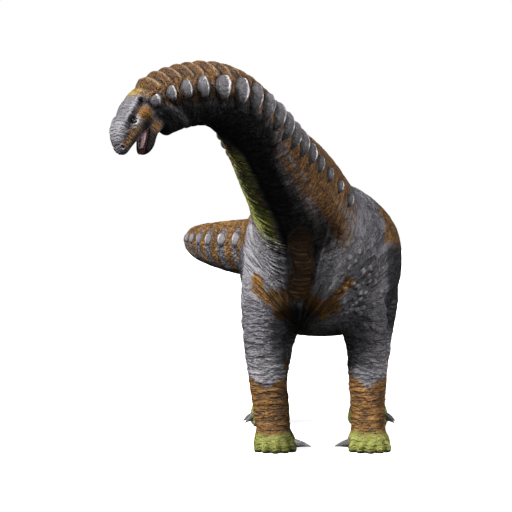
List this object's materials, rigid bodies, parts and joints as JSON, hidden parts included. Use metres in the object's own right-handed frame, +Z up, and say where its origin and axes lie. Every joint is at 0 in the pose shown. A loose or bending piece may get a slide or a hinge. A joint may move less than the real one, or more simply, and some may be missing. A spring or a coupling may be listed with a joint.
{
  "type": "titanosaur sauropod dinosaur",
  "caption": "Life-size titanosaur, a long-necked plant-eating dinosaur, standing with its neck arched to its right, its head lowered and its mouth a little open.",
  "frame": {"origin": "on the ground under the middle of the animal's overall length and width", "axes": "+Z up, the animal faces -Y, its left side is +X, and its tail trails towards +Y"},
  "size_m": [5.5179, 21.2111, 7.2777],
  "materials": {
    "grey_skin": "matt wrinkled skin",
    "neck_skin": "matt ridged skin with raised scutes",
    "tail_skin": "matt scaly skin",
    "lower_leg_skin": "matt wrinkled skin",
    "claw_horn": "satin horn",
    "eye_dark": "wet gloss",
    "tongue_flesh": "moist satin"
  },
  "bodies": {
    "root": {"head": "grey_skin", "lower_jaw": "grey_skin", "torso": "grey_skin", "fore_leg_left_upper": "grey_skin", "fore_leg_right_upper": "grey_skin", "hind_leg_left_upper": "grey_skin", "hind_leg_right_upper": "grey_skin", "neck_1": "neck_skin", "tail_1": "tail_skin", "neck_2": "neck_skin", "tail_2": "tail_skin", "neck_3": "neck_skin", "tail_3": "tail_skin", "neck_4": "neck_skin", "tail_4": "tail_skin", "fore_leg_left_lower": "lower_leg_skin", "fore_leg_right_lower": "lower_leg_skin", "hind_leg_left_lower": "lower_leg_skin", "hind_leg_right_lower": "lower_leg_skin", "fore_leg_left_thumb_claw": "claw_horn", "hind_leg_left_claw_1": "claw_horn", "hind_leg_left_claw_2": "claw_horn", "hind_leg_left_claw_3": "claw_horn", "eye_left": "eye_dark", "fore_leg_right_thumb_claw": "claw_horn", "hind_leg_right_claw_1": "claw_horn", "hind_leg_right_claw_2": "claw_horn", "hind_leg_right_claw_3": "claw_horn", "eye_right": "eye_dark", "tongue": "tongue_flesh"}
  },
  "joints": []
}
